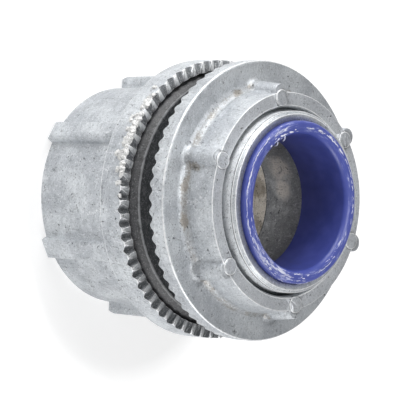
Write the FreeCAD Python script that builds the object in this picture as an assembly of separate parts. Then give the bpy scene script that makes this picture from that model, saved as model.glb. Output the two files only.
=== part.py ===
import FreeCAD, Part
import math
import os

# Weatherproof conduit hub for 1 inch rigid conduit: a die-cast body with a sealing gasket in its
# flange, a die-cast locking nut on its nipple and a nylon insulated throat in the nose.
# Millimetres. Z is the conduit's axis: the socket end stands on Z = 0 and the nose points up.
# X runs through the middle of one barrel rib.

# Trade size, as radii over thread crests
THREAD_RADIUS = 16.6          # outside thread on the nipple
THREAD_MESH = 1.1             # the socket's inside thread is this much smaller in radius
THREAD_PITCH = 25.4 / 11.5    # 11.5 threads to the inch, right-hand
THREAD_DEPTH = 1.05
THREAD_GROOVE = 1.84          # width of the V groove at the crests
THREAD_FADE = 1.6             # height over which the groove runs out at its upper end

# Conduit side of the body
BARREL_WALL = 4.7             # over the socket's crests, at the socket end
BARREL_DRAFT = 0.8            # degrees, the barrel widens towards the flange
BARREL_LENGTH = 20.9          # from the socket end to the back of the flange
BARREL_EDGE_ROUND = 0.3
BARREL_NECK_ROUND = 0.5       # where the barrel meets the flange
SOCKET_DEPTH = 23.9
SOCKET_CHAMFER = 1.3          # opens the mouth to the thread's roots
STOP_SLOPE = 35               # degrees from the flat, where the socket closes on the throat

# Ribs that a wrench grips on the barrel
RIB_COUNT = 6
RIB_WIDTH = 3.9
RIB_HEIGHT = 2.05             # above the barrel, at the socket end
RIB_END_ROUND = 2.0           # of the end's top edge
RIB_PLAN_ROUND = 2.1          # of the end's two sides
RIB_TOP_ROUND = 1.4
RIB_FOOT_ROUND = 0.5

# Flange of the body
FLANGE_OVERHANG = 5.0         # beyond the barrel at the socket end
FLANGE_THICKNESS = 5.6        # from its back to the crests of its teeth
FLANGE_EDGE_ROUND = 0.6
FLANGE_TEETH = 64
FLANGE_TOOTH_DEPTH = 0.95     # at the rim
FLANGE_TEETH_LENGTH = 2.0
FLANGE_TEETH_TURN = 4.05      # degrees from X to the nearest crest
FLANGE_VALLEY = 0.62          # share of the pitch from a crest to the next valley
TOOTH_RUN_OUT = 0.3           # depth that is left where the teeth of either ring end inside
TOOTH_LAND = 0.04             # half the width of a crest

# Gasket, and its recess in the flange
RECESS_DEPTH = 2.3            # below the crests of the flange's teeth
RECESS_ROUND = 0.4
GASKET_RIM_GAP = 0.3
GASKET_BORE_GAP = 0.3
GASKET_STAND = 0.95           # how far its ridge stands above the crests
GASKET_SLOPE_WIDTH = 1.25
GASKET_SLOPE_HEIGHT = 1.85
GASKET_DISH = 0.5             # fall of its face from the ridge to the bore
GASKET_EDGE_ROUND = 0.35

# Nipple and nose
THREAD_RELIEF = 0.55          # step in radius from the crests to the plain nose
THREAD_END_BEVEL = 0.6
NIPPLE_LENGTH = 18.3          # from the crests of the flange's teeth to the nose's face
NOSE_LENGTH = 3.4             # plain end beyond the thread
NOSE_WALL = 2.45              # around the liner
NOSE_CHAMFER_WIDTH = 0.6
NOSE_CHAMFER_HEIGHT = 0.45

# Throat liner, which stands on a shelf inside the nose
LINER_DEPTH = 9.6             # from the nose's face to the shelf
LINER_SHELF = 1.1             # width of the shelf
LINER_FIT = 0.05              # radial
LINER_WALL = 1.55
LINER_LIP_OVERHANG = 0.75     # of the lip over the nose's face
LINER_LIP_HEIGHT = 1.4
LINER_LIP_ROUND = 0.6
LINER_MOUTH_ROUND = 1.1
LINER_TAIL_BEVEL = 0.4

# Locking nut
NUT_GAP = 6.8                 # from the flange's teeth to the nut's teeth
NUT_FIT = 0.08                # radial, over the thread's crests
NUT_HEIGHT = 9.6              # from the teeth's crests to the collar's face
NUT_OVERHANG = 4.9            # of the toothed flange beyond the collar's foot
NUT_RIM_THICKNESS = 3.3
NUT_RIM_ROUND = 0.45
NUT_TEETH = 65
NUT_TOOTH_DEPTH = 0.75
NUT_TOOTH_STEPS = 6           # flats that make each rounded gap
NUT_TEETH_TURN = -1.5         # degrees from a lug to the nearest crest
NUT_TEETH_LENGTH = 2.2
NUT_BACK_RECESS = 1.1         # depth of the nut's back inside its ring of teeth
NUT_RECESS_SLOPE = 0.8        # width of the slope that leads down to it
NUT_BORE_CHAMFER = 0.35
COLLAR_WALL = 2.62            # around the bore, at the collar's face
COLLAR_FLARE = 0.8            # how much wider the collar is at its foot
COLLAR_FOOT_FILLET = 1.7
COLLAR_EDGE_ROUND = 0.12
LUG_COUNT = 6
LUG_RADIUS = 1.55             # half round, at the collar's face
LUG_FLARE = 0.65              # how much wider a lug is at its foot
LUG_FOOT_ROUND = 0.9
LUG_OFFSET = 0.05             # of a lug's axis outside the collar's edge
PAD_RADIUS = 1.5              # round mark that an ejector pin leaves on the face beside each lug
PAD_OFFSET = 0.9              # of its axis inside the collar's edge
PAD_STAND = 0.18
NUT_TURN = 10.5               # degrees from the body's rib to the nut's lug

# Help for the cuts and joins, which leaves no mark on the part
OVERRUN = 0.5                 # how far a cut reaches past what it cuts
EMBED = 1.2                   # how far a raised feature reaches into what carries it
THREAD_CLEARANCE = 0.15       # how far the thread's cut starts clear of the crests
SLIVER = 0.02                 # straight stretch that keeps a flared foot clear of its corner

# Heights that follow
FLANGE_FRONT = BARREL_LENGTH + FLANGE_THICKNESS
RECESS_FLOOR = FLANGE_FRONT - RECESS_DEPTH
NOSE_FACE = FLANGE_FRONT + NIPPLE_LENGTH
THREAD_END = NOSE_FACE - NOSE_LENGTH
LINER_SEAT = NOSE_FACE - LINER_DEPTH
NUT_BACK = FLANGE_FRONT + NUT_GAP
NUT_FACE = NUT_BACK + NUT_HEIGHT
NUT_RIM_FRONT = NUT_BACK + NUT_RIM_THICKNESS

# Radii that follow
SOCKET_RADIUS = THREAD_RADIUS - THREAD_MESH
BARREL_RADIUS = SOCKET_RADIUS + BARREL_WALL
BARREL_NECK_RADIUS = BARREL_RADIUS + BARREL_LENGTH * math.tan(math.radians(BARREL_DRAFT))
FLANGE_RADIUS = BARREL_RADIUS + FLANGE_OVERHANG
RECESS_RADIUS = FLANGE_RADIUS - FLANGE_TEETH_LENGTH
NOSE_RADIUS = THREAD_RADIUS - THREAD_RELIEF
LINER_SEAT_RADIUS = NOSE_RADIUS - NOSE_WALL
THROAT_RADIUS = LINER_SEAT_RADIUS - LINER_SHELF
NUT_BORE_RADIUS = THREAD_RADIUS + NUT_FIT
COLLAR_RADIUS = NUT_BORE_RADIUS + COLLAR_WALL
COLLAR_FOOT_RADIUS = COLLAR_RADIUS + COLLAR_FLARE
NUT_RADIUS = COLLAR_FOOT_RADIUS + NUT_OVERHANG

UP = FreeCAD.Vector(0, 0, 1)
CENTRE = FreeCAD.Vector(0, 0, 0)


def unit(vector):
    """The direction of a vector."""
    return vector * (1 / vector.Length)


def outline(corners, plane):
    """Closed wire through corners (a, b, rounding); plane(a, b) gives the point in space."""
    points = [plane(a, b) for a, b, _ in corners]
    edges = []
    last = None
    first = None
    for i, (_, _, rounding) in enumerate(corners):
        here = points[i]
        arrive = here
        leave = here
        if rounding > 0:
            back = unit(points[i - 1] - here)
            ahead = unit(points[(i + 1) % len(points)] - here)
            half = back.getAngle(ahead) / 2
            middle = unit(back + ahead)
            arrive = here + back * (rounding / math.tan(half))
            leave = here + ahead * (rounding / math.tan(half))
            crown = here + middle * (rounding / math.sin(half) - rounding)
        if last is None:
            first = arrive
        else:
            edges.append(Part.LineSegment(last, arrive).toShape())
        if rounding > 0:
            edges.append(Part.Arc(arrive, crown, leave).toShape())
        last = leave
    edges.append(Part.LineSegment(last, first).toShape())
    return Part.Wire(edges)


def turned(corners):
    """Solid of revolution about Z from corners (radius, height, rounding)."""
    wire = outline(corners, lambda r, z: FreeCAD.Vector(r, 0, z))
    return Part.Face(wire).revolve(CENTRE, UP, 360)


def flat_face(points):
    """Flat face through points in order."""
    return Part.Face(Part.makePolygon(points + points[:1]))


def around(shape, count, turn=0.0):
    """Copies of a shape spread evenly about Z, the first one turned by some degrees."""
    copies = []
    for i in range(count):
        copy = shape.copy()
        copy.rotate(CENTRE, UP, turn + i * 360 / count)
        copies.append(copy)
    return copies


def rounded_gap(steps):
    """Section of a gap with a round valley and round crests, as flats: (across, deep) shares."""
    turns = [2 * math.pi * i / steps for i in range(steps + 1)]
    return [(turn / math.pi - 1, (1 - math.cos(turn)) / 2) for turn in turns]


def tooth_gap(count, rim_radius, length, depth, crest, facing, section):
    """Cut between two radial teeth, deep at the rim and running out inwards.

    It is centred on X. crest is the height of the teeth's crests, and facing is +1 where they
    point up and -1 where they point down. section lists points of the gap from crest to crest,
    as shares of half its width across and of its depth.
    """
    fall = (depth - TOOTH_RUN_OUT) / length
    rings = []
    for radius in (rim_radius + OVERRUN, rim_radius - length - OVERRUN):
        here = depth + (radius - rim_radius) * fall
        half = radius * math.tan(math.pi / count) - TOOTH_LAND
        ring = [FreeCAD.Vector(radius, -half, crest + facing * OVERRUN)]
        for across, deep in section:
            ring.append(FreeCAD.Vector(radius, across * half, crest - facing * deep * here))
        ring.append(FreeCAD.Vector(radius, half, crest + facing * OVERRUN))
        rings.append(ring)
    outer, inner = rings
    faces = [flat_face(ring) for ring in rings]
    for i in range(len(outer)):
        j = (i + 1) % len(outer)
        faces.append(flat_face([outer[i], outer[j], inner[j]]))
        faces.append(flat_face([outer[i], inner[j], inner[i]]))
    return Part.Solid(Part.Shell(faces))


def thread_groove(low, high):
    """Cut for the nipple's right-hand V thread, which runs out at its upper end."""
    clear = THREAD_RADIUS + THREAD_CLEARANCE
    root = THREAD_RADIUS - THREAD_DEPTH
    half = THREAD_GROOVE / 2 * (1 + THREAD_CLEARANCE / THREAD_DEPTH)
    points = [
        FreeCAD.Vector(clear, 0, low - half),
        FreeCAD.Vector(root, 0, low),
        FreeCAD.Vector(clear, 0, low + half),
    ]
    helix = Part.makeHelix(THREAD_PITCH, high - low, THREAD_RADIUS)
    helix.translate(FreeCAD.Vector(0, 0, low))
    sweep = Part.BRepOffsetAPI.MakePipeShell(Part.Wire(helix.Edges))
    sweep.setFrenetMode(True)
    sweep.add(Part.makePolygon(points + points[:1]))
    sweep.build()
    sweep.makeSolid()
    inside = root - SLIVER
    outside = THREAD_RADIUS + OVERRUN + SLIVER
    top = high + THREAD_PITCH
    run_out = turned(
        [
            (inside - OVERRUN, high - THREAD_FADE, 0),
            (inside, high - THREAD_FADE, 0),
            (outside, high, 0),
            (outside, top, 0),
            (inside - OVERRUN, top, 0),
        ]
    )
    return sweep.shape().cut(run_out)


def rib():
    """Wrench rib on the barrel: a rounded end and top, and feet that flare into the barrel."""
    inside = BARREL_RADIUS - EMBED
    top = BARREL_NECK_RADIUS + RIB_HEIGHT
    end = BARREL_LENGTH + EMBED
    half = RIB_WIDTH / 2
    spread = half + RIB_FOOT_ROUND + SLIVER
    foot = math.sqrt(BARREL_RADIUS**2 - spread**2)
    side = outline(
        [
            (inside, 0, 0),
            (BARREL_RADIUS + RIB_HEIGHT, 0, RIB_END_ROUND),
            (top, BARREL_LENGTH, 0),
            (top, end, 0),
            (inside, end, 0),
        ],
        lambda r, z: FreeCAD.Vector(r, -spread, z),
    )
    section = outline(
        [
            (inside, -spread, 0),
            (foot, -spread, 0),
            (foot, -half, RIB_FOOT_ROUND),
            (top, -half, RIB_TOP_ROUND),
            (top, half, RIB_TOP_ROUND),
            (foot, half, RIB_FOOT_ROUND),
            (foot, spread, 0),
            (inside, spread, 0),
        ],
        lambda r, y: FreeCAD.Vector(r, y, 0),
    )
    plan = outline(
        [
            (-spread, 0, RIB_PLAN_ROUND),
            (spread, 0, RIB_PLAN_ROUND),
            (spread, end, 0),
            (-spread, end, 0),
        ],
        lambda y, z: FreeCAD.Vector(inside, y, z),
    )
    slab = Part.Face(side).extrude(FreeCAD.Vector(0, 2 * spread, 0))
    bar = Part.Face(section).extrude(FreeCAD.Vector(0, 0, end))
    tongue = Part.Face(plan).extrude(FreeCAD.Vector(top - inside + OVERRUN, 0, 0))
    return slab.common(bar).common(tongue)


def make_hub_body():
    """Body: ribbed barrel with the conduit socket, toothed flange, nipple and nose, one casting."""
    stop = (SOCKET_RADIUS - THROAT_RADIUS) * math.tan(math.radians(STOP_SLOPE))
    body = turned(
        [
            (SOCKET_RADIUS + SOCKET_CHAMFER, 0, 0),
            (BARREL_RADIUS, 0, BARREL_EDGE_ROUND),
            (BARREL_NECK_RADIUS, BARREL_LENGTH, BARREL_NECK_ROUND),
            (FLANGE_RADIUS, BARREL_LENGTH, FLANGE_EDGE_ROUND),
            (FLANGE_RADIUS, FLANGE_FRONT, 0),
            (RECESS_RADIUS, FLANGE_FRONT, 0),
            (RECESS_RADIUS, RECESS_FLOOR, RECESS_ROUND),
            (THREAD_RADIUS, RECESS_FLOOR, 0),
            (THREAD_RADIUS, THREAD_END - THREAD_END_BEVEL, 0),
            (NOSE_RADIUS, THREAD_END, 0),
            (NOSE_RADIUS, NOSE_FACE - NOSE_CHAMFER_HEIGHT, 0),
            (NOSE_RADIUS - NOSE_CHAMFER_WIDTH, NOSE_FACE, 0),
            (LINER_SEAT_RADIUS, NOSE_FACE, 0),
            (LINER_SEAT_RADIUS, LINER_SEAT, 0),
            (THROAT_RADIUS, LINER_SEAT, 0),
            (THROAT_RADIUS, SOCKET_DEPTH + stop, 0),
            (SOCKET_RADIUS, SOCKET_DEPTH, 0),
            (SOCKET_RADIUS, SOCKET_CHAMFER, 0),
        ]
    )
    body = body.fuse(around(rib(), RIB_COUNT)).removeSplitter()
    gap = tooth_gap(
        FLANGE_TEETH,
        FLANGE_RADIUS,
        FLANGE_TEETH_LENGTH,
        FLANGE_TOOTH_DEPTH,
        FLANGE_FRONT,
        1,
        [(-1, 0), (2 * FLANGE_VALLEY - 1, 1), (1, 0)],
    )
    body = body.cut(around(gap, FLANGE_TEETH, FLANGE_TEETH_TURN + 180 / FLANGE_TEETH))
    return body.cut(thread_groove(RECESS_FLOOR + THREAD_GROOVE, THREAD_END))


def make_sealing_gasket():
    """Rubber ring in the flange's recess, with a sloped rim and a slightly dished face."""
    rim = RECESS_RADIUS - GASKET_RIM_GAP
    bore = THREAD_RADIUS + GASKET_BORE_GAP
    ridge = FLANGE_FRONT + GASKET_STAND
    return turned(
        [
            (bore, RECESS_FLOOR, 0),
            (rim, RECESS_FLOOR, RECESS_ROUND),
            (rim, ridge - GASKET_SLOPE_HEIGHT, 0),
            (rim - GASKET_SLOPE_WIDTH, ridge, GASKET_EDGE_ROUND),
            (bore, ridge - GASKET_DISH, GASKET_EDGE_ROUND),
        ]
    )


def make_throat_liner():
    """Nylon bushing pressed into the nose, with a rounded lip that guards the wires."""
    tube = LINER_SEAT_RADIUS - LINER_FIT
    bore = tube - LINER_WALL
    rim = LINER_SEAT_RADIUS + LINER_LIP_OVERHANG
    lip = NOSE_FACE + LINER_LIP_HEIGHT
    return turned(
        [
            (bore, LINER_SEAT, 0),
            (tube - LINER_TAIL_BEVEL, LINER_SEAT, 0),
            (tube, LINER_SEAT + LINER_TAIL_BEVEL, 0),
            (tube, NOSE_FACE, 0),
            (rim, NOSE_FACE, 0),
            (rim, lip, LINER_LIP_ROUND),
            (bore, lip, LINER_MOUTH_ROUND),
        ]
    )


def lug():
    """Half-round wrench lug on the nut's collar, wider at its foot and flared into the flange."""
    foot = LUG_RADIUS + LUG_FLARE
    spread = foot + LUG_FOOT_ROUND + SLIVER
    shape = turned(
        [
            (0, NUT_RIM_FRONT - EMBED, 0),
            (spread, NUT_RIM_FRONT - EMBED, 0),
            (spread, NUT_RIM_FRONT, 0),
            (foot, NUT_RIM_FRONT, LUG_FOOT_ROUND),
            (LUG_RADIUS, NUT_FACE, COLLAR_EDGE_ROUND),
            (0, NUT_FACE, 0),
        ]
    )
    shape.translate(FreeCAD.Vector(COLLAR_RADIUS + LUG_OFFSET, 0, 0))
    return shape


def pad():
    """Shallow round mark on the nut's face."""
    centre = FreeCAD.Vector(COLLAR_RADIUS - PAD_OFFSET, 0, NUT_FACE - EMBED)
    return Part.makeCylinder(PAD_RADIUS, EMBED + PAD_STAND, centre, UP)


def make_hub_nut():
    """Locking nut: toothed flange, flared collar with six lugs, and a bore over the thread."""
    teeth_end = NUT_RADIUS - NUT_TEETH_LENGTH
    back = NUT_BACK + NUT_BACK_RECESS
    mouth = NUT_BORE_RADIUS + NUT_BORE_CHAMFER
    nut = turned(
        [
            (mouth, back, 0),
            (teeth_end - NUT_RECESS_SLOPE, back, 0),
            (teeth_end, NUT_BACK, 0),
            (NUT_RADIUS, NUT_BACK, 0),
            (NUT_RADIUS, NUT_RIM_FRONT, NUT_RIM_ROUND),
            (COLLAR_FOOT_RADIUS, NUT_RIM_FRONT, COLLAR_FOOT_FILLET),
            (COLLAR_RADIUS, NUT_FACE, COLLAR_EDGE_ROUND),
            (mouth, NUT_FACE, 0),
            (NUT_BORE_RADIUS, NUT_FACE - NUT_BORE_CHAMFER, 0),
            (NUT_BORE_RADIUS, back + NUT_BORE_CHAMFER, 0),
        ]
    )
    nut = nut.fuse(around(lug(), LUG_COUNT) + around(pad(), LUG_COUNT))
    opening = Part.makeCylinder(NUT_BORE_RADIUS, NUT_HEIGHT, FreeCAD.Vector(0, 0, NUT_BACK), UP)
    nut = nut.cut(opening).removeSplitter()
    gap = tooth_gap(
        NUT_TEETH,
        NUT_RADIUS,
        NUT_TEETH_LENGTH,
        NUT_TOOTH_DEPTH,
        NUT_BACK,
        -1,
        rounded_gap(NUT_TOOTH_STEPS),
    )
    nut = nut.cut(around(gap, NUT_TEETH, NUT_TEETH_TURN + 180 / NUT_TEETH))
    nut.rotate(CENTRE, UP, NUT_TURN)
    return nut


NODES = {
    "hub_body": make_hub_body,
    "sealing_gasket": make_sealing_gasket,
    "throat_liner": make_throat_liner,
    "hub_nut": make_hub_nut,
}

os.makedirs("parts", exist_ok=True)
for name, make in NODES.items():
    shape = make()
    if shape.ShapeType == "Compound" and len(shape.Solids) == 1:
        shape = shape.Solids[0]
    shape.exportStep(f"parts/{name}.step")
    box = shape.BoundBox
    print(
        f"{name}: valid {shape.isValid()}, {len(shape.Solids)} solid, {len(shape.Faces)} faces,"
        f" volume {shape.Volume:.0f} mm3, z {box.ZMin:.2f} to {box.ZMax:.2f}, width {box.XLength:.2f}"
    )
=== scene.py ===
# %% [markdown]
# A conduit hub carries threaded conduit through the wall of an electrical box. Four pieces make it:
# a zinc body, a rubber gasket, a zinc locknut and a nylon throat. The frame holds their true shapes,
# with the teeth and the nipple's thread. This lesson adds what the frame leaves out: smooth shading,
# the thread in the conduit's socket, the cast, moulded and worn finishes, the burrs on the casting
# and the scuffs on the nylon.

# %% Load the frame
import math
import random

import bmesh
import bpy
from mathutils import Matrix, Vector, noise


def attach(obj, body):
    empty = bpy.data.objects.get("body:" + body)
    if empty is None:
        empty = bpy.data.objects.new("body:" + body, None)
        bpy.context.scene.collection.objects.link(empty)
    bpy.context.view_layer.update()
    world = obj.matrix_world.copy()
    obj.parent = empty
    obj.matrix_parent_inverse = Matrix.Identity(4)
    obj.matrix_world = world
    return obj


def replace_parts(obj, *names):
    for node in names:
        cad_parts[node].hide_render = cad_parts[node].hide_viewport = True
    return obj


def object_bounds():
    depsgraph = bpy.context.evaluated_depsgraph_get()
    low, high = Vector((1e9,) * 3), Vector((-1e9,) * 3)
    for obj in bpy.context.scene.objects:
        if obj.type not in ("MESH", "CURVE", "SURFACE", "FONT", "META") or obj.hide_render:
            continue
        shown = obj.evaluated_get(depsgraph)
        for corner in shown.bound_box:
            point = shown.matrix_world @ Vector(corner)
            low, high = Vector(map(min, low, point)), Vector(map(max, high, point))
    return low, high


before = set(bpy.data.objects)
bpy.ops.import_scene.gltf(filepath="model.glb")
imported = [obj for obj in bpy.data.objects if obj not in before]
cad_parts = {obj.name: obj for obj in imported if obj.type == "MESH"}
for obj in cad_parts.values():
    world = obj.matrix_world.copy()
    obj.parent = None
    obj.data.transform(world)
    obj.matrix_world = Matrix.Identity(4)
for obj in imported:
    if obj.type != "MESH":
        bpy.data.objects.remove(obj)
bpy.context.view_layer.update()
cad_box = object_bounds()
print("nodes", sorted(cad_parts), "box", [tuple(round(v, 4) for v in c) for c in cad_box])

MM = 0.001

# %% [markdown]
# Every colour below is written as the hex code that a picture editor shows. Cycles works with linear
# light, so one function turns each code into linear values.

# %% Colours


def colour(code):
    """Linear RGBA from an sRGB hex code such as cdd3d8."""
    parts = [int(code[i : i + 2], 16) / 255 for i in (0, 2, 4)]
    linear = [p / 12.92 if p <= 0.04045 else ((p + 0.055) / 1.055) ** 2.4 for p in parts]
    return (*linear, 1.0)


print("the grey 808080 in linear light:", [round(v, 3) for v in colour("808080")[:3]])

# %% [markdown]
# A CAD node arrives as loose triangles, which shade as flats. A merged copy can be shaded smooth
# between its sharp edges, and the copy then stands in for the node. A subdivision would round the
# teeth as well, so only the shading is smoothed, and weighted normals keep the flat sides flat.

# %% Copies of CAD nodes

MERGE = 0.0005 * MM
SHARP = math.radians(32)


def merged(node):
    """A bmesh with the node's triangles joined at their corners."""
    bm = bmesh.new()
    bm.from_mesh(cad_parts[node].data)
    bmesh.ops.remove_doubles(bm, verts=bm.verts[:], dist=MERGE)
    return bm


def new_object(name, bm):
    """A linked object that holds the bmesh, which is used up."""
    mesh = bpy.data.meshes.new(name)
    bm.to_mesh(mesh)
    bm.free()
    obj = bpy.data.objects.new(name, mesh)
    bpy.context.scene.collection.objects.link(obj)
    return obj


def finished(name, bm, material, body):
    """A piece of the hub: shaded smooth, in its finish, riding on its body."""
    obj = new_object(name, bm)
    obj.data.materials.clear()
    obj.data.materials.append(material)
    obj.data.shade_smooth()
    obj.data.set_sharp_from_angle(angle=SHARP)
    keep_flats = obj.modifiers.new("keep_flats", "WEIGHTED_NORMAL")
    keep_flats.keep_sharp = True
    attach(obj, body)
    print(name, len(obj.data.polygons), "faces")
    return obj


# %% [markdown]
# One small function adds a shader node with its settings and its links. Each finish is a skin colour
# with other colours laid over it, each where its pattern is strong, and a relief from some of the
# same patterns.

# %% Shader nodes


def add(tree, kind, inputs=None, **settings):
    """A new node. Its inputs are values, sockets, or nodes that stand for their first socket."""
    node = tree.nodes.new(kind)
    for key, value in settings.items():
        setattr(node, key, value)
    for key, value in (inputs or {}).items():
        if isinstance(value, bpy.types.Node):
            value = value.outputs[0]
        if isinstance(value, bpy.types.NodeSocket):
            tree.links.new(value, node.inputs[key])
        else:
            node.inputs[key].default_value = value
    return node


def new_material(name):
    """An empty material with its tree, its shader and the object's own coordinates."""
    material = bpy.data.materials.new(name)
    material.use_nodes = True
    tree = material.node_tree
    tree.nodes.clear()
    shader = add(tree, "ShaderNodeBsdfPrincipled")
    add(tree, "ShaderNodeOutputMaterial", {"Surface": shader})
    place = add(tree, "ShaderNodeTexCoord").outputs["Object"]
    return material, tree, shader, place


def dressed(tree, shader, skin, layers, reliefs):
    """Colour and relief for a shader.

    A layer is a pattern, the two values between which it comes in, its strength and its colour.
    A relief is a pattern with its height in millimetres.
    """
    coat = colour(skin)
    for pattern, start, full, strength, code in layers:
        share = add(tree, "ShaderNodeMapRange", {0: pattern, 1: start, 2: full, 4: strength})
        mix = add(tree, "ShaderNodeMix", {0: share, 6: coat, 7: colour(code)}, data_type="RGBA")
        coat = mix.outputs[2]
    tree.links.new(coat, shader.inputs["Base Color"])
    height = 0.0
    for pattern, full in reliefs:
        sums = {0: pattern, 1: full * MM, 2: height}
        height = add(tree, "ShaderNodeMath", sums, operation="MULTIPLY_ADD")
    bump = add(tree, "ShaderNodeBump", {"Height": height, "Distance": 1.0})
    tree.links.new(bump.outputs[0], shader.inputs["Normal"])


# %% [markdown]
# The hub is round, so rubbed edges with their painted highlights, and corners darkened by dirt and
# painted shade, are mostly rings round its axis. In a vector of the distance from the axis and the
# height, a ring is one spot, so a pattern that is strong near some spots draws rings with that vector,
# and patches with the place itself.

# %% Patterns round the axis

FULL_SHARE = 0.3


def round_place(tree, place):
    """Sockets for the distance from the axis, the height, and the two as one vector."""
    level = add(tree, "ShaderNodeMapping", {"Vector": place, "Scale": (1, 1, 0)})
    radius = add(tree, "ShaderNodeVectorMath", {0: level}, operation="LENGTH").outputs["Value"]
    height = add(tree, "ShaderNodeSeparateXYZ", {0: place}).outputs["Z"]
    both = add(tree, "ShaderNodeCombineXYZ", {"X": radius, "Z": height})
    return radius, height, both


def near(tree, where, spots):
    """Pattern of spots (x, y, z, reach in mm): 1 over a share of their reach, then it fades."""
    nearest = 0.0
    for x, y, z, reach in spots:
        off = {0: where, 1: (x * MM, y * MM, z * MM)}
        off = add(tree, "ShaderNodeVectorMath", off, operation="DISTANCE").outputs["Value"]
        ends = {0: off, 1: reach * MM, 2: FULL_SHARE * reach * MM}
        close = add(tree, "ShaderNodeMapRange", ends)
        nearest = add(tree, "ShaderNodeMath", {0: close, 1: nearest}, operation="MAXIMUM")
    return nearest


def between(tree, length, low, high):
    """Pattern that is 1 where a length is between two values in mm, and 0 elsewhere."""
    ends = {0: length, 1: (low + high) / 2 * MM, 2: (high - low) / 2 * MM}
    return add(tree, "ShaderNodeMath", ends, operation="COMPARE")


# %% [markdown]
# Zinc die casting comes out of the mould pale grey and slightly chalky. Its skin is finely grained,
# with small dark pits, cloudy marks where the metal flowed round the mould, and thin scratches from
# handling. A picture of real metal could be wrapped round the hub, but noise leaves no seam, and the
# size of each mark is then written in millimetres. Grain and pits are drawn coarser than the real
# ones, so that they show.

# %% Marks in the cast skin

FLOW_SQUEEZE = (1, 1, 1.7)
PIT_SIZE = 0.55
SCRATCH_SIZE = 3.0
SCRATCH_TURN = (0.6, 0.3, 0.9)
SCRATCH_SQUEEZE = (1, 11, 1)


def skin_marks(tree, place):
    """Patterns of the skin by their names: blotches of several sizes in mm, pits and scratches."""
    flat = add(tree, "ShaderNodeMapping", {"Vector": place, "Scale": FLOW_SQUEEZE})
    marks = {}
    for key, vector, size, detail, rough in (
        ("cloud", place, 7.0, 4.0, 0.5),
        ("flow", flat, 2.2, 5.0, 0.62),
        ("grain", place, 0.3, 3.0, 0.65),
        ("speck", place, 0.6, 3.0, 0.6),
        ("dirt_and_shade", place, 3.4, 6.0, 0.75),
    ):
        settings = {"Vector": vector, "Scale": 1 / (size * MM), "Detail": detail, "Roughness": rough}
        marks[key] = add(tree, "ShaderNodeTexNoise", settings)
    # pits: the peaks of a fine noise, in some clouds more than in others
    fine = {"Vector": place, "Scale": 1 / (PIT_SIZE * MM), "Detail": 2.0, "Distortion": 0.8}
    peak = add(tree, "ShaderNodeTexNoise", fine)
    peak = add(tree, "ShaderNodeMapRange", {0: peak, 1: 0.635, 2: 0.7})
    crowd = add(tree, "ShaderNodeMapRange", {0: marks["dirt_and_shade"], 1: 0.4, 2: 0.56})
    marks["pits"] = add(tree, "ShaderNodeMath", {0: peak, 1: crowd}, operation="MULTIPLY")
    # scratches: noise drawn out one way
    slant = {"Vector": place, "Rotation": SCRATCH_TURN, "Scale": SCRATCH_SQUEEZE}
    drawn = add(tree, "ShaderNodeMapping", slant)
    hair = {"Vector": drawn, "Scale": 1 / (SCRATCH_SIZE * MM), "Detail": 7.0, "Roughness": 0.78}
    marks["scratch"] = add(tree, "ShaderNodeTexNoise", hair)
    return marks


# %% [markdown]
# Handling rubs a casting's edges bright, and brown dirt stays in its corners. Here the bright edges
# are painted highlights as well as wear, and the dark corners painted shade as well as dirt. Both could
# be painted by hand, but two nodes find them on any shape: the Bevel node's normals differ from the
# true ones only near an edge, and little sky is open to a corner. Spots and rings add what these two
# miss.

# %% Rubbed edges and dirty corners, with painted highlights and painted shade

EDGE_REACH = 0.15
CORNER_REACH = 1.4
STAIN_WEIGHT = 0.14
GRAIN_WEIGHT = 0.4


def rubbed_and_highlit(tree, marks, both, edges):
    """Pattern of edges rubbed bright and given a painted highlight, and of some rings, broken into
    specks.
    """
    rounded = add(tree, "ShaderNodeBevel", {"Radius": EDGE_REACH * MM}, samples=6)
    true = add(tree, "ShaderNodeNewGeometry").outputs["Normal"]
    turned = add(tree, "ShaderNodeVectorMath", {0: rounded, 1: true}, operation="DOT_PRODUCT")
    edge = add(tree, "ShaderNodeMapRange", {0: turned.outputs["Value"], 1: 0.99, 2: 0.9})
    edge = add(tree, "ShaderNodeMath", {0: edge, 1: near(tree, both, edges)}, operation="MAXIMUM")
    return add(tree, "ShaderNodeMath", {0: edge, 1: marks["speck"]}, operation="MULTIPLY")


def dirty_and_shaded(tree, marks, place, both, foot, stains):
    """Pattern of dirt and painted shade in the corners and on some rings, at its worst in the stains."""
    reach = {"Distance": CORNER_REACH * MM}
    sky = add(tree, "ShaderNodeAmbientOcclusion", reach, samples=4, only_local=True)
    corner = add(tree, "ShaderNodeMapRange", {0: sky.outputs["AO"], 1: 0.9, 2: 0.5})
    stained = near(tree, place, stains)
    for more in (near(tree, both, foot), stained):
        corner = add(tree, "ShaderNodeMath", {0: corner, 1: more}, operation="MAXIMUM")
    worse = marks["dirt_and_shade"]
    for pattern, weight in ((stained, STAIN_WEIGHT), (marks["grain"], GRAIN_WEIGHT)):
        sums = {0: pattern, 1: weight, 2: worse}
        worse = add(tree, "ShaderNodeMath", sums, operation="MULTIPLY_ADD")
    return add(tree, "ShaderNodeMath", {0: corner, 1: worse}, operation="MULTIPLY")


# %% [markdown]
# An ejector pin pushes the cast nut out of its mould beside each lug and leaves a flat round mark
# there. Its rim carries a painted highlight, with a thin line of painted shade round its foot, both of
# them drawn by the distance from the nearest mark's middle.

# %% Rims of the round marks

MARK_RIM = (1.32, 1.52)
MARK_FOOT = (1.52, 1.68)


def mark_rims(tree, marks, place, pads):
    """Patterns of the rims of round marks and of the line round them, broken into specks."""
    nearest = 1.0
    for x, y, z in pads:
        off = {0: place, 1: (x * MM, y * MM, z * MM)}
        off = add(tree, "ShaderNodeVectorMath", off, operation="DISTANCE").outputs["Value"]
        nearest = add(tree, "ShaderNodeMath", {0: off, 1: nearest}, operation="MINIMUM")
    rims = []
    for low, high in (MARK_RIM, MARK_FOOT):
        rim = {0: between(tree, nearest, low, high), 1: marks["speck"]}
        rims.append(add(tree, "ShaderNodeMath", rim, operation="MULTIPLY"))
    return rims
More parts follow.
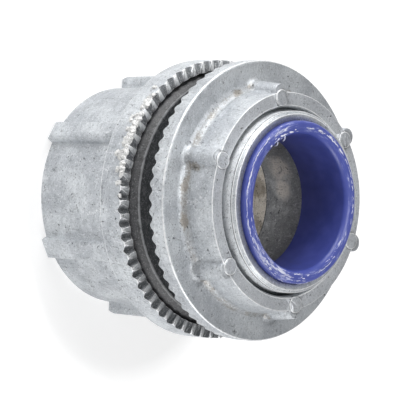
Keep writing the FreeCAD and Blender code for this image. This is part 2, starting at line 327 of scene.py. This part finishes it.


# %% [markdown]
# The zinc itself lays these marks over a grey skin, from the broad and faint to the fine and strong:
# the clouds first, the rubbed edges with their painted highlights last, and painted light and shade
# among them. One function dresses the body and the nut, because both are cast alike and differ only
# in where they are worn and where light and shade are painted on them.

# %% Zinc


def cast_zinc(name, edges, lines, foot, stains, glints, pads, regions):
    """As-cast zinc alloy.

    edges are the rings rubbed bright and given a painted highlight, lines the dark rings of painted
    shade, foot the rings of a corner darkened by dirt and painted shade, stains the patches where the
    dirt is at its worst, and glints the patches of painted highlight. pads are the middles of round
    marks. A region is a range of radii, a range of heights, a strength and a colour, which paints
    light or shade there.
    """
    material, tree, shader, place = new_material(name)
    radius, height, both = round_place(tree, place)
    marks = skin_marks(tree, place)
    flow, grain, scratch = marks["flow"], marks["grain"], marks["scratch"]
    rub_and_highlight = rubbed_and_highlit(tree, marks, both, edges)
    dirt_and_shade = dirty_and_shaded(tree, marks, place, both, foot, stains)
    rim, rim_foot = mark_rims(tree, marks, place, pads)
    line = {0: near(tree, both, lines), 1: marks["speck"]}
    line = add(tree, "ShaderNodeMath", line, operation="MULTIPLY")
    bright = {0: near(tree, place, glints), 1: flow}
    bright = add(tree, "ShaderNodeMath", bright, operation="MULTIPLY")
    layers = [(marks["cloud"], 0.42, 0.62, 0.7, "d6dadd")]
    # each region paints light or shade
    for low, high, bottom, top, strength, code in regions:
        within = {0: between(tree, radius, low, high), 1: between(tree, height, bottom, top)}
        within = add(tree, "ShaderNodeMath", within, operation="MULTIPLY")
        layers.append((within, 0.0, 1.0, strength, code))
    layers += [
        # painted highlight on the glints
        (bright, 0.15, 0.45, 0.9, "fbf6f0"),
        (flow, 0.54, 0.74, 0.4, "8e9196"),
        (flow, 0.45, 0.3, 0.35, "e8ebee"),
        (scratch, 0.59, 0.65, 0.7, "73777a"),
        (scratch, 0.41, 0.34, 0.6, "f0f1f3"),
        (grain, 0.56, 0.7, 0.7, "74777a"),
        (grain, 0.43, 0.3, 0.6, "f6f7f8"),
        # dirt and painted shade in the corners
        (dirt_and_shade, 0.65, 0.86, 0.65, "887e6f"),
        # painted shade along the dark rings
        (line, 0.2, 0.45, 0.8, "4c4e50"),
        (marks["pits"], 0.0, 1.0, 0.85, "4b4e51"),
        # painted shade round the feet of the round marks
        (rim_foot, 0.3, 0.5, 0.7, "64676a"),
        # rubbed edges, which are also painted highlights
        (rub_and_highlight, 0.22, 0.45, 0.9, "f4f5f6"),
        # painted highlight on the rims of the round marks
        (rim, 0.3, 0.5, 0.8, "f4f5f6"),
    ]
    reliefs = [(grain, 0.045), (flow, 0.06), (scratch, 0.06), (marks["pits"], -0.1)]
    dressed(tree, shader, "b5b9be", layers, reliefs)
    shader.inputs["Metallic"].default_value = 0.78
    rough = add(tree, "ShaderNodeMapRange", {0: flow, 1: 0.3, 2: 0.7, 3: 0.44, 4: 0.62})
    tree.links.new(rough.outputs[0], shader.inputs["Roughness"])
    return material


# %% [markdown]
# The body is rubbed on its rims and on the nose, with painted highlights there too, and stained in the
# socket and beside a rib. The gaps between its teeth and the bore behind the liner see little light,
# and a darker grey is painted on them as shade. The crests of the teeth, the side of the nose, the
# socket's wall and two patches in the bore are painted lighter as light and highlights.

# %% Zinc of the body

body_zinc = cast_zinc(
    "as_cast_zinc_body",
    # rings rubbed bright and given a painted highlight
    edges=[
        (25.2, 0, 26.35, 0.3),  # flange, at the teeth
        (25.0, 0, 21.1, 0.5),  # flange, at its back
        (15.5, 0, 44.8, 0.2),  # nose, inside its chamfer
        (16.05, 0, 44.35, 0.2),  # nose, outside its chamfer
        (20.1, 0, 0.1, 0.4),  # end of the barrel
    ],
    # dark rings of painted shade
    lines=[
        (16.05, 0, 44.15, 0.16),  # nose, under its chamfer
        (12.5, 0, 26.0, 0.4),  # bore, where the socket meets it
    ],
    # dirt and painted shade at the barrel's foot
    foot=[(20.9, 0, 20.9, 1.0)],  # barrel's foot on the flange
    stains=[
        (3.0, -15.5, 21.0, 6.0),  # socket
        (-5.0, -15.0, 21.0, 6.0),  # socket
        (19.0, 9.5, 14.0, 2.5),  # barrel, beside a rib
    ],
    # painted highlights in the bore
    glints=[(6.0, -10.4, 30.5, 4.0), (2.5, -11.7, 30.2, 3.2)],  # bore
    pads=[],
    regions=[
        # painted shade in the bore
        (0.0, 12.9, 26.0, 36.0, 0.35, "6e6c6c"),  # bore
        # painted light on the socket's wall
        (0.0, 16.6, 1.0, 26.0, 0.6, "f0e4d2"),  # socket
        # painted shade in the gaps between the teeth
        (23.0, 25.1, 25.2, 26.4, 0.85, "66696c"),  # gaps between the teeth
        # painted highlights on the crests of the teeth
        (23.0, 25.1, 26.4, 26.6, 0.8, "f4f5f6"),  # crests of the teeth
        # painted light on the side of the nose
        (15.9, 16.2, 41.4, 44.05, 0.7, "f6f8fa"),  # side of the nose
    ],
)

# %% [markdown]
# The nut is rubbed on its rim and round its face, with painted highlights there too. Brown dirt and
# painted shade darken the collar's foot, and the dirt is worst beside the lugs. Its face is painted
# lighter as light, and the collar's foot darker as shade.

# %% Zinc of the nut

NUT_TURN = 10.5
LUGS = 6
PAD_RING = 18.40
PAD_HEIGHT = 43.0
PAD_TURNS = [math.radians(NUT_TURN + 360 / LUGS * k) for k in range(LUGS)]

nut_zinc = cast_zinc(
    "as_cast_zinc_nut",
    # rings rubbed bright and given a painted highlight
    edges=[
        (24.95, 0, 36.5, 0.3),  # rim
        (19.3, 0, 42.9, 0.22),  # face, outside
        (17.0, 0, 42.9, 0.2),  # face, at the bore
    ],
    # a dark ring of painted shade
    lines=[(17.0, 0, 42.7, 0.2)],  # bore, under the face
    # dirt and painted shade at the collar's foot
    foot=[(20.6, 0, 37.4, 1.7)],  # collar's foot
    stains=[
        (5.0, 19.6, 38.8, 2.4),  # side of a lug
        (5.6, 19.0, 40.2, 1.8),  # side of a lug
        (1.5, 20.7, 37.4, 2.0),
        (-1.5, 20.7, 37.3, 1.8),
        (-4.5, 20.3, 37.3, 1.6),
        (18.9, 8.6, 37.3, 1.5),
    ],
    glints=[],
    pads=[(PAD_RING * math.cos(turn), PAD_RING * math.sin(turn), PAD_HEIGHT) for turn in PAD_TURNS],
    regions=[
        # painted light on the face
        (17.0, 19.2, 42.6, 43.2, 0.5, "d2d5da"),  # face
        # painted shade on the collar's foot
        (19.9, 21.6, 36.9, 38.4, 0.5, "a3a5a7"),  # collar's foot
    ],
)
print("the body's and the nut's zinc:", [len(z.node_tree.nodes) for z in (body_zinc, nut_zinc)], "nodes")

# %% [markdown]
# The gasket is moulded from black rubber, dull with a faint bloom. Its sloped rim is painted a lighter
# grey as light, and the ridge above it carries a pale painted highlight. Two noises make the bloom and
# the dust, and the distance from the axis and one ring place the painted light.

# %% Rubber

RIDGE_RADIUS = 21.65
RIDGE_HEIGHT = 27.4
RIDGE_REACH = 0.4
BLOOM_SIZE = 1.1
DUST_SIZE = 0.3


def moulded_rubber():
    """Black rubber: no metal, a broad weak sheen, and a grey bloom."""
    material, tree, shader, place = new_material("moulded_black_rubber")
    radius, _, both = round_place(tree, place)
    soft = {"Vector": place, "Scale": 1 / (BLOOM_SIZE * MM), "Detail": 5.0, "Roughness": 0.65}
    bloom = add(tree, "ShaderNodeTexNoise", soft)
    fine = {"Vector": place, "Scale": 1 / (DUST_SIZE * MM), "Detail": 2.0}
    dust = add(tree, "ShaderNodeTexNoise", fine)
    ridge = near(tree, both, [(RIDGE_RADIUS, 0, RIDGE_HEIGHT, RIDGE_REACH)])
    ridge = add(tree, "ShaderNodeMath", {0: ridge, 1: bloom}, operation="MULTIPLY")
    layers = [
        # painted light on the sloped rim outside the ridge
        (radius, RIDGE_RADIUS * MM, (RIDGE_RADIUS + 0.3) * MM, 0.8, "525254"),
        (bloom, 0.46, 0.36, 0.6, "2a2b2d"),
        (bloom, 0.5, 0.68, 0.7, "626365"),
        (dust, 0.54, 0.68, 0.7, "7f8082"),
        # painted highlight on the ridge
        (ridge, 0.2, 0.5, 0.8, "9b9c9e"),
    ]
    dressed(tree, shader, "343537", layers, [(bloom, 0.03), (dust, 0.015)])
    shader.inputs["Roughness"].default_value = 0.55
    shader.inputs["IOR"].default_value = 1.52
    return material


rubber = moulded_rubber()
print(rubber.name, len(rubber.node_tree.nodes), "nodes")

# %% [markdown]
# The throat is moulded from blue nylon. Where it is bent or scraped, nylon turns white, so fine pale
# scuffs and specks lie along its lip. They run round the mouth, so their noise reads the angle round
# the axis, which is drawn out six times against the way across the lip.

# %% Nylon

LIP_FOOT = 44.3
LIP_CROWN = 46.0
SCRAPE_SIZE = 0.7
SCRAPE_RADIUS = 2.2
WORN_SPOTS = [
    (-9.2, 9.4, 46.0, 3.5),
    (-11.4, 6.7, 46.0, 3.5),
    (-12.8, 3.5, 46.0, 3.0),
    (11.6, 6.0, 46.0, 3.0),
]
WORN_WEIGHT = 0.09


def moulded_nylon():
    """Blue nylon with a soft gloss and pale scrapes on the lip."""
    material, tree, shader, place = new_material("moulded_blue_nylon")
    radius, height, _ = round_place(tree, place)
    cloud = add(tree, "ShaderNodeTexNoise", {"Vector": place, "Scale": 1 / (2.5 * MM), "Detail": 3.0})
    parts = add(tree, "ShaderNodeSeparateXYZ", {0: place})
    angle = {0: parts.outputs["Y"], 1: parts.outputs["X"]}
    angle = add(tree, "ShaderNodeMath", angle, operation="ARCTAN2")
    arc = add(tree, "ShaderNodeMath", {0: angle, 1: SCRAPE_RADIUS * MM}, operation="MULTIPLY")
    along = add(tree, "ShaderNodeCombineXYZ", {"X": arc, "Y": radius, "Z": height})
    lines = {"Vector": along, "Scale": 1 / (SCRAPE_SIZE * MM), "Detail": 6.0, "Roughness": 0.75}
    scrape = add(tree, "ShaderNodeTexNoise", lines)
    sums = {0: near(tree, place, WORN_SPOTS), 1: WORN_WEIGHT, 2: scrape}
    scrape = add(tree, "ShaderNodeMath", sums, operation="MULTIPLY_ADD")
    lip = add(tree, "ShaderNodeMapRange", {0: height, 1: LIP_FOOT * MM, 2: LIP_CROWN * MM})
    scuffs = add(tree, "ShaderNodeMath", {0: lip, 1: scrape}, operation="MULTIPLY")
    layers = [
        (cloud, 0.35, 0.65, 1.0, "46509f"),
        (lip, 0.0, 1.0, 0.35, "5560ac"),
        (scuffs, 0.51, 0.62, 0.5, "959dd0"),
        (scuffs, 0.59, 0.68, 0.9, "e6e8f4"),
    ]
    dressed(tree, shader, "3b4692", layers, [(cloud, 0.03), (scuffs, 0.04)])
    shader.inputs["Roughness"].default_value = 0.36
    shader.inputs["IOR"].default_value = 1.53
    return material


def whitened_nylon():
    """Nylon that scraping has turned white: chalky, with some blue left."""
    material, tree, shader, place = new_material("scuffed_white_nylon")
    fine = {"Vector": place, "Scale": 1 / (0.4 * MM), "Detail": 3.0}
    fleck = add(tree, "ShaderNodeTexNoise", fine)
    dressed(tree, shader, "dfe0ee", [(fleck, 0.5, 0.7, 0.7, "8f97cf")], [(fleck, 0.03)])
    shader.inputs["Roughness"].default_value = 0.7
    shader.inputs["IOR"].default_value = 1.53
    return material


nylon = moulded_nylon()
white_nylon = whitened_nylon()
print(nylon.name, len(nylon.node_tree.nodes), "nodes", white_nylon.name, len(white_nylon.node_tree.nodes))

# %% [markdown]
# The socket's wall is plain in the frame. Its thread takes the conduit: a V spun round the axis while
# it climbs makes the winding, and a Boolean cuts it out of the metal. A bump in the material would
# leave the wall's outline plain. The groove fades at its top, as a thread does where the tap stops.

# %% Thread in the socket

PITCH = 25.4 / 11.5 * MM
SOCKET_RADIUS = 15.5 * MM
THREAD_DEPTH = 1.0 * MM
HALF_GROOVE = 0.9 * MM
OVERLAP = 0.25 * MM
FIRST_TURN = -1.2 * MM
TURNS = 10
STEPS_A_TURN = 60


def spun(bm, face, centre, axis, angle, steps, climb=0.0):
    """Sweep a face round an axis into a closed solid that has the face at both ends."""
    bmesh.ops.spin(
        bm,
        geom=[face],
        cent=centre,
        axis=axis,
        dvec=(0, 0, climb),
        angle=angle,
        steps=steps,
        use_merge=False,
        use_duplicate=False,
    )


def winding(low):
    """Cutter for the socket's groove, whose middle starts at a height."""
    bm = bmesh.new()
    section = (
        (-OVERLAP, -HALF_GROOVE),
        (-OVERLAP, HALF_GROOVE),
        (0, HALF_GROOVE),
        (THREAD_DEPTH, 0),
        (0, -HALF_GROOVE),
    )
    face = bm.faces.new([bm.verts.new((SOCKET_RADIUS + out, 0, low + lift)) for out, lift in section])
    steps = TURNS * STEPS_A_TURN
    spun(bm, face, (0, 0, 0), (0, 0, 1), 2 * math.pi * TURNS, steps, PITCH / STEPS_A_TURN)
    bmesh.ops.recalc_face_normals(bm, faces=bm.faces[:])
    for v in bm.verts:
        left = max(0.0, low + TURNS * PITCH - v.co.z) / PITCH
        lean = max(0.0, 1 - left) * (THREAD_DEPTH + OVERLAP)
        radius = v.co.xy.length
        v.co.xy *= (radius - lean) / radius
    return bm


def carved(bm, cutter):
    """The bmesh less the cutter. Both are used up."""
    whole, tool = new_object("whole", bm), new_object("tool", cutter)
    cut = whole.modifiers.new("cut", "BOOLEAN")
    cut.operation = "DIFFERENCE"
    cut.solver = "EXACT"
    cut.object = tool
    result = bmesh.new()
    result.from_mesh(whole.evaluated_get(bpy.context.evaluated_depsgraph_get()).to_mesh())
    for obj in (whole, tool):
        bpy.data.meshes.remove(obj.data)
    return result


casting = merged("hub_body")
plain = casting.calc_volume()
casting = carved(casting, winding(FIRST_TURN))
print("the socket's thread takes", round((plain - casting.calc_volume()) * 1e9), "cubic mm away")

# %% [markdown]
# The four pieces themselves are merged copies of the CAD nodes in their finishes. They could be
# modelled again, but the frame's shapes are exact, so that would only add errors.

# %% The four pieces

for node, name, bm, material, body, slot in (
    ("hub_body", "hub_casting", casting, body_zinc, "hub", "body_zinc"),
    ("hub_nut", "locknut_casting", merged("hub_nut"), nut_zinc, "nut", "nut_zinc"),
    ("sealing_gasket", "sealing_ring", merged("sealing_gasket"), rubber, "hub", "gasket_rubber"),
    ("throat_liner", "insulated_throat", merged("throat_liner"), nylon, "hub", "liner_nylon"),
):
    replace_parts(finished(name, bm, material, body), node)

# %% [markdown]
# The mould left rough pale burrs on the rim of the flange, beside the gaps between its teeth. Each
# burr is a small ball, pushed out of shape by noise and half sunk into the casting. A rough material
# alone would leave the rim's outline clean, which a crumbled edge isn't. The noise module's vectors
# start from the clock until they are given a seed, so a seed keeps the burrs the same in each run.

# %% Burrs on the flange

TOOTH_PITCH = 360 / 64
FIRST_GAP = 7.5
WORST_GAP, GAP_SPREAD = 11.1, 1.6
FLANGE_RADIUS = 25.2
BURRS = 150
BURR_SEED = 7
BURR_TURN = 1.2  # degrees beside a gap
BURR_TOP, BURR_LIMIT, BURR_FALL = 26.3, 26.2, 0.8
BURR_SINK = 0.03
BURR_SIZES = (0.16, 0.6)
BURR_PROPORTIONS = (0.75, 1.1, 1.0)
CRUMB_SIZE = 0.2
CRUMB_PUSH = 0.6


def chalky_zinc():
    """Crumbled casting skin: pale, dull and hardly metallic."""
    material, tree, shader, place = new_material("crumbled_zinc")
    fine = {"Vector": place, "Scale": 1 / (0.35 * MM), "Detail": 4.0, "Roughness": 0.7}
    crumb = add(tree, "ShaderNodeTexNoise", fine)
    dressed(tree, shader, "e3e3e2", [(crumb, 0.5, 0.64, 0.8, "8b8c8d")], [(crumb, 0.12)])
    shader.inputs["Metallic"].default_value = 0.4
    shader.inputs["Roughness"].default_value = 0.7
    return material


def burrs(count):
    """Rough grains beside the tooth gaps, over the part of the rim that has them."""
    rng = random.Random(BURR_SEED)
    noise.seed_set(BURR_SEED)
    bm = bmesh.new()
    for _ in range(count):
        gap = FIRST_GAP + TOOTH_PITCH * (rng.gauss(WORST_GAP, GAP_SPREAD) // 1)
        turn = math.radians(gap + rng.gauss(0, BURR_TURN))
        low = min(BURR_TOP - abs(rng.gauss(0, BURR_FALL)), BURR_LIMIT)
        size = rng.uniform(*BURR_SIZES) * MM
        grain = bmesh.ops.create_icosphere(bm, subdivisions=2, radius=size)["verts"]
        for v in grain:
            crumb = v.co / (CRUMB_SIZE * MM) + Vector((gap, low, 0))
            v.co += noise.noise_vector(crumb) * CRUMB_PUSH * size
        bmesh.ops.scale(bm, vec=BURR_PROPORTIONS, verts=grain)
        bmesh.ops.translate(bm, vec=((FLANGE_RADIUS - BURR_SINK) * MM, 0, low * MM), verts=grain)
        bmesh.ops.rotate(bm, cent=(0, 0, 0), matrix=Matrix.Rotation(turn, 3, "Z"), verts=grain)
    return bm


finished("flange_burrs", burrs(BURRS), chalky_zinc(), "hub")

# %% [markdown]
# Where the liner was trimmed, thin white slivers stand along its lip. A small hexagon spun round the
# axis makes a sliver, and noise makes it uneven, where a painted streak would lie flat. Most of them
# are torn into short pieces, so each scrape is a row of slivers with gaps between them.

# %% Slivers on the lip

BORE = 12.0
LIP_TOP = 46.2
LIP_RADIUS = 14.35
LIP_ROUND = 0.6
MOUTH_ROUND = 1.1
STEPS_A_DEGREE = 1.2
SLIVER_FLATNESS = 0.45
TIP_FULLNESS = 0.15
LUMP_SIZE = 0.4
LUMP_SHARE = 0.6
WANDER_SIZE = 0.6
WANDER = 0.1


def lip_height(radius):
    """Height of the lip's upper side over a radius, both in mm."""
    if radius > LIP_RADIUS - LIP_ROUND:
        out = min(radius - LIP_RADIUS + LIP_ROUND, LIP_ROUND)
        return LIP_TOP - LIP_ROUND + math.sqrt(LIP_ROUND**2 - out**2)
    into = min(max(0.0, BORE + MOUTH_ROUND - radius), MOUTH_ROUND)
    return LIP_TOP - MOUTH_ROUND + math.sqrt(MOUTH_ROUND**2 - into**2)


def sliver(bm, radius, start, end, width, slant):
    """Thin strip on the lip from one angle to another, drifting outwards by its slant."""
    steps = max(3, int((end - start) * STEPS_A_DEGREE))
    turn = Matrix.Rotation(math.radians(start), 3, "Z")
    before = set(bm.verts)
    ring = bmesh.ops.create_circle(bm, cap_ends=True, segments=6, radius=width / 2 * MM)["verts"]
    bmesh.ops.rotate(bm, cent=(0, 0, 0), matrix=Matrix.Rotation(math.pi / 2, 3, "X"), verts=ring)
    bmesh.ops.scale(bm, vec=(1, 1, SLIVER_FLATNESS), verts=ring)
    place = Vector((radius, 0, lip_height(radius))) * MM
    bmesh.ops.translate(bm, vec=place, verts=ring)
    bmesh.ops.rotate(bm, cent=(0, 0, 0), matrix=turn, verts=ring)
    spun(bm, ring[0].link_faces[0], (0, 0, 0), (0, 0, 1), math.radians(end - start), steps)
    for v in set(bm.verts) - before:
        angle = math.degrees(math.atan2(v.co.y, v.co.x) - math.radians(start)) % 360
        along = min(angle / (end - start), 1.0) if angle < 350 else 0.0
        here = radius + slant * (along - 0.5)
        outward = Vector((v.co.x, v.co.y, 0)).normalized()
        core = outward * here * MM
        core.z = lip_height(here) * MM
        off = v.co - outward * radius * MM
        off.z = v.co.z - place.z
        fullness = TIP_FULLNESS + (1 - TIP_FULLNESS) * math.sin(math.pi * along) ** 0.5
        uneven = 1 + LUMP_SHARE * noise.noise(core / (LUMP_SIZE * MM))
        wander = noise.noise_vector(core / (WANDER_SIZE * MM)) * WANDER * MM
        v.co = core + off * fullness * uneven + wander


# %% [markdown]
# Each streak on the real lip is one row of slivers here, and the outermost rows are its trimmed edge.
# A table gives the rows, so that a loop makes them all.

# %% Scrapes round the lip

SCRAPE_SEED = 3
# radius in mm, start and end in degrees, width and spread in mm, share that is left, longest piece
SCRAPES = (
    (14.08, 40, 83, 0.27, 0.02, 1.0, 24),
    (14.1, 90, 112, 0.22, 0.02, 1.0, 12),
    (14.05, 112, 121, 0.2, 0.06, 1.0, 5),
    (14.1, 121, 146, 0.12, 0.03, 0.95, 10),
    (14.0, 142, 156, 0.2, 0.08, 0.8, 5),
    (13.75, 30, 80, 0.07, 0.2, 0.3, 5),
    (12.7, 8, 42, 0.26, 0.1, 0.9, 7),
    (12.95, 10, 40, 0.16, 0.2, 0.5, 5),
    (12.5, 26, 62, 0.1, 0.08, 0.5, 6),
    (12.6, 95, 125, 0.1, 0.1, 0.45, 5),
    (13.0, 104, 150, 0.14, 0.25, 0.8, 12),
    (13.2, 128, 182, 0.15, 0.3, 0.85, 12),
    (13.4, 132, 172, 0.1, 0.4, 0.8, 9),
    (14.3, 148, 194, 0.12, 0.05, 0.7, 3),
    (13.75, 120, 178, 0.1, 0.12, 0.7, 12),
    (12.7, 135, 180, 0.1, 0.16, 0.6, 8),
    (13.2, 183, 192, 0.28, 0.1, 0.8, 4),
    (13.2, 203, 225, 0.17, 0.08, 0.9, 10),
    (12.6, 205, 240, 0.12, 0.08, 0.8, 9),
    (13.5, 256, 282, 0.15, 0.06, 0.8, 10),
    (13.6, 292, 312, 0.17, 0.03, 1.0, 14),
    (13.45, 310, 330, 0.21, 0.04, 1.0, 12),
    (13.3, 326, 345, 0.2, 0.04, 1.0, 10),
    (13.1, 340, 356, 0.2, 0.05, 1.0, 9),
)


def scrapes():
    """Rows of slivers, torn into pieces."""
    rng = random.Random(SCRAPE_SEED)
    noise.seed_set(SCRAPE_SEED)
    bm = bmesh.new()
    for radius, start, end, width, spread, left, longest in SCRAPES:
        turn = start
        while turn < end:
            piece = rng.uniform(0.2, 1) * longest
            if rng.random() < left:
                off = rng.gauss(0, spread)
                thick = width * rng.uniform(0.55, 1.2)
                sliver(bm, radius + off, turn, turn + piece, thick, rng.uniform(-0.15, 0.15))
            turn += piece * rng.uniform(0.8, 1.1)
    bmesh.ops.recalc_face_normals(bm, faces=bm.faces[:])
    return bm


finished("lip_slivers", scrapes(), white_nylon, "hub")

# %% [markdown]
# Two hairs of nylon are left at the mouth and curl into it. A curve with a bevel could make them, but
# a hexagon spun by less than half a turn is a mesh from the start, with both of its ends closed.

# %% Hairs at the mouth

HAIR_ROOT = 12.5
HAIR_SINK = 0.05
HAIR_CURL = 1.0
HAIR_STEPS = 8
# degrees round the axis, half the thickness in mm, degrees of bend
HAIRS = ((25.5, 0.13, 70), (35.0, 0.09, 95))


def hairs():
    """Two short curled hairs of nylon that hang over the mouth."""
    bm = bmesh.new()
    for turn, half, bend in HAIRS:
        before = set(bm.verts)
        ring = bmesh.ops.create_circle(bm, cap_ends=True, segments=6, radius=half * MM)["verts"]
        root = Vector((HAIR_ROOT, 0, lip_height(HAIR_ROOT) - HAIR_SINK)) * MM
        bmesh.ops.rotate(bm, cent=(0, 0, 0), matrix=Matrix.Rotation(math.pi / 2, 3, "Y"), verts=ring)
        bmesh.ops.translate(bm, vec=root, verts=ring)
        centre = root - Vector((0, 0, HAIR_CURL * MM))
        spun(bm, ring[0].link_faces[0], centre, (0, -1, 0), math.radians(bend), HAIR_STEPS)
        grown = [v for v in bm.verts if v not in before]
        placed = Matrix.Rotation(math.radians(turn), 3, "Z")
        bmesh.ops.rotate(bm, cent=(0, 0, 0), matrix=placed, verts=grown)
    bmesh.ops.recalc_face_normals(bm, faces=bm.faces[:])
    return bm


finished("mouth_hairs", hairs(), white_nylon, "hub")

# %% [markdown]
# The floor is plain and pale. For the camera and in reflections it is nearly white, as the picture's
# ground is. The rest is lit paint, so that the hub's shadow stays. More lamps would whiten it too,
# but they would bleach the hub as well.

# %% Floor

FLOOR_SIZE = 40.0
FLOOR_GLOW = 0.58


def pale_floor():
    """Floor material: pale paint, lifted by a glow for rays of the camera, of gloss and of glass."""
    material, tree, shader, _ = new_material("pale_floor")
    shader.inputs["Base Color"].default_value = colour("c8c8c8")
    shader.inputs["Roughness"].default_value = 1.0
    shader.inputs["Specular IOR Level"].default_value = 0.0
    path = add(tree, "ShaderNodeLightPath")
    seen = 0.0
    for ray in ("Is Camera Ray", "Is Glossy Ray", "Is Transmission Ray"):
        seen = add(tree, "ShaderNodeMath", {0: seen, 1: path.outputs[ray]}, operation="MAXIMUM")
    glow = add(tree, "ShaderNodeMath", {0: seen, 1: FLOOR_GLOW}, operation="MULTIPLY")
    white = add(tree, "ShaderNodeEmission", {"Color": colour("ffffff"), "Strength": glow})
    both = add(tree, "ShaderNodeAddShader", {0: shader, 1: white})
    tree.links.new(both.outputs[0], tree.nodes["Material Output"].inputs["Surface"])
    return material


floor_mesh = bmesh.new()
bmesh.ops.create_grid(floor_mesh, x_segments=1, y_segments=1, size=FLOOR_SIZE / 2)
floor = new_object("floor", floor_mesh)
floor.data.materials.append(pale_floor())
print("floor", FLOOR_SIZE, "m wide")

# %% [markdown]
# A small lamp nearly on the hub's axis throws the collar's short shadow on the nut, and a faint soft
# one fills in from the front. Two large ones light the barrel and the rims from above and from below
# in the picture. An even white world does the rest.

# %% Light

WORLD_STRENGTH = 0.32
hub_middle = (cad_box[0] + cad_box[1]) / 2


def lamp(name, direction, distance, size, watts):
    """Square lamp that looks at the hub from a direction. Its distance and size are in metres."""
    data = bpy.data.lights.new(name, "AREA")
    data.size = size
    data.energy = watts
    obj = bpy.data.objects.new(name, data)
    bpy.context.scene.collection.objects.link(obj)
    back = Vector(direction).normalized()
    obj.location = hub_middle + back * distance
    obj.rotation_mode = "QUATERNION"
    obj.rotation_quaternion = back.to_track_quat("Z", "Y")
    print(name, size, "m wide,", watts, "W")


lamp("nose_lamp", (0.22, 0.08, 1.0), 0.7, 0.09, 1.8)
lamp("front_lamp", (0.1, 0.9, 0.7), 0.9, 0.6, 0.2)
lamp("upper_lamp", (1.0, 0.35, 0.1), 0.6, 0.5, 5.2)
lamp("lower_lamp", (-1.0, 0.2, 0.3), 0.7, 0.4, 2.5)

world = bpy.data.worlds.new("studio")
bpy.context.scene.world = world
world.use_nodes = True
world.node_tree.nodes["Background"].inputs["Color"].default_value = colour("ffffff")
world.node_tree.nodes["Background"].inputs["Strength"].default_value = WORLD_STRENGTH

# %% [markdown]
# The camera stands where the circles of the nose, nut and flange put it, 44 cm from the hub's middle
# and half way between its axis and its side. Its long lens keeps those circles nearly alike in shape.

# %% Camera

CAMERA_PLACE = Vector((-9.13, 313.01, 327.56)) * MM
PICTURE_RIGHT = Vector((0.0593, -0.6975, 0.7141))
PICTURE_UP = Vector((0.9980, 0.0558, -0.0283))
TO_CAMERA = Vector((-0.0201, 0.7144, 0.6995))
camera_data = bpy.data.cameras.new("camera")
camera_data.lens = 216.0
camera_data.sensor_width = 36.0
camera_data.clip_start = 0.02
camera_data.clip_end = 20.0
camera = bpy.data.objects.new("camera", camera_data)
bpy.context.scene.collection.objects.link(camera)
facing = Matrix((PICTURE_RIGHT, PICTURE_UP, TO_CAMERA)).transposed()
camera.matrix_world = Matrix.Translation(CAMERA_PLACE) @ facing.to_4x4()
bpy.context.scene.camera = camera
bpy.context.scene.view_settings.view_transform = "Standard"
print("camera", round((CAMERA_PLACE - hub_middle).length, 3), "m from the hub's middle")

# %% [markdown]
# Last, the scene is brought up to date. The box round all that is seen should hardly pass the box of
# the CAD nodes, because the burrs and slivers are the only pieces that stand out of them.

# %% Finish

bpy.context.view_layer.update()
